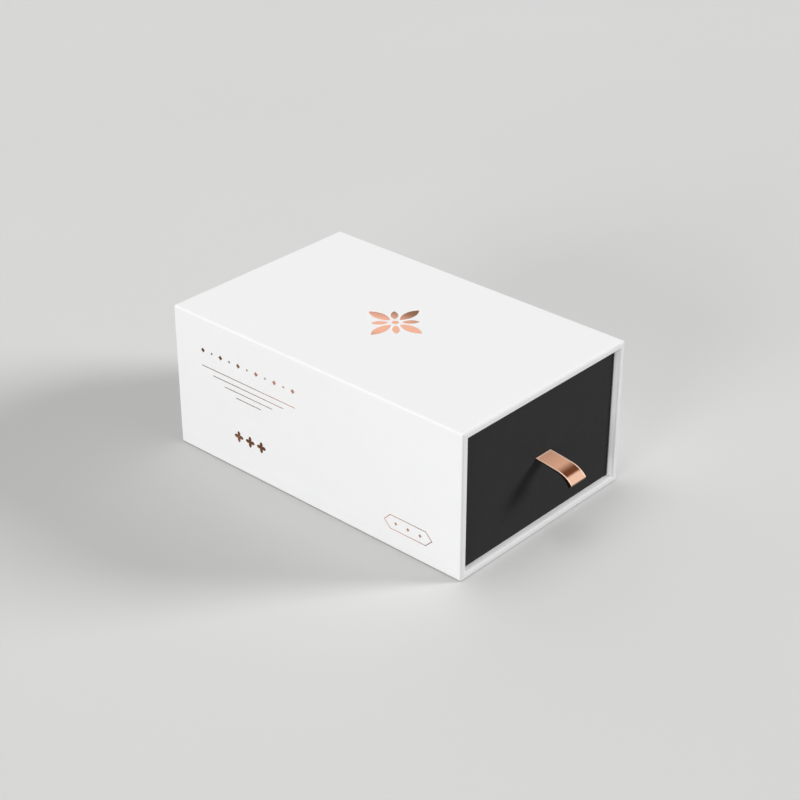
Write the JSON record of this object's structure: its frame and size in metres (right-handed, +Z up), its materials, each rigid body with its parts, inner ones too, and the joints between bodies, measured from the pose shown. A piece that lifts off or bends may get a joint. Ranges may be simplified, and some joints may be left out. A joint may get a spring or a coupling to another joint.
{
  "type": "sliding drawer gift box",
  "caption": "Rigid gift box: a closed-back wrapped-board sleeve with a lidless drawer that slides out of its open end on a satin ribbon pull.",
  "frame": {"origin": "centre of the sleeve's underside, on the surface that the box stands on", "axes": "+X to the right as one faces the sleeve's mouth, +Y from the mouth to the closed back, +Z up; the drawer comes out along -Y"},
  "size_m": [0.15, 0.2609, 0.099],
  "materials": {
    "white_paper": "white wrapping paper with a matte film",
    "black_paper": "black dyed paper with a matte film",
    "greyboard": "bare recycled greyboard",
    "gummed_tape": "brown gummed kraft tape",
    "rose_gold_foil": "hot-stamped rose gold foil, polished",
    "copper_satin": "double-faced satin ribbon, copper, with woven edges"
  },
  "bodies": {
    "sleeve": {"sleeve_top_board": "greyboard", "sleeve_bottom_board": "greyboard", "sleeve_left_board": "greyboard", "sleeve_right_board": "greyboard", "sleeve_back_board": "greyboard", "sleeve_corner_stays": "gummed_tape", "sleeve_wrap": "white_paper", "sleeve_bottom_sheet": "white_paper", "sleeve_back_sheet": "white_paper", "sleeve_wall_lining": "white_paper", "sleeve_back_lining": "white_paper", "top_foil_rosette": "rose_gold_foil", "side_foil_divider": "rose_gold_foil", "side_foil_rules": "rose_gold_foil", "side_foil_florets": "rose_gold_foil", "side_foil_cartouche": "rose_gold_foil"},
    "drawer": {"drawer_front_board": "greyboard", "drawer_back_board": "greyboard", "drawer_left_board": "greyboard", "drawer_right_board": "greyboard", "drawer_base_board": "greyboard", "drawer_corner_stays": "gummed_tape", "drawer_wrap": "black_paper", "drawer_floor_liner": "black_paper", "ribbon_pull": "copper_satin"}
  },
  "joints": [
    {"name": "drawer_slide", "type": "slide", "parent": "sleeve", "child": "drawer", "axis": [0, -1, 0], "range_m": [0, 0.232]}
  ]
}
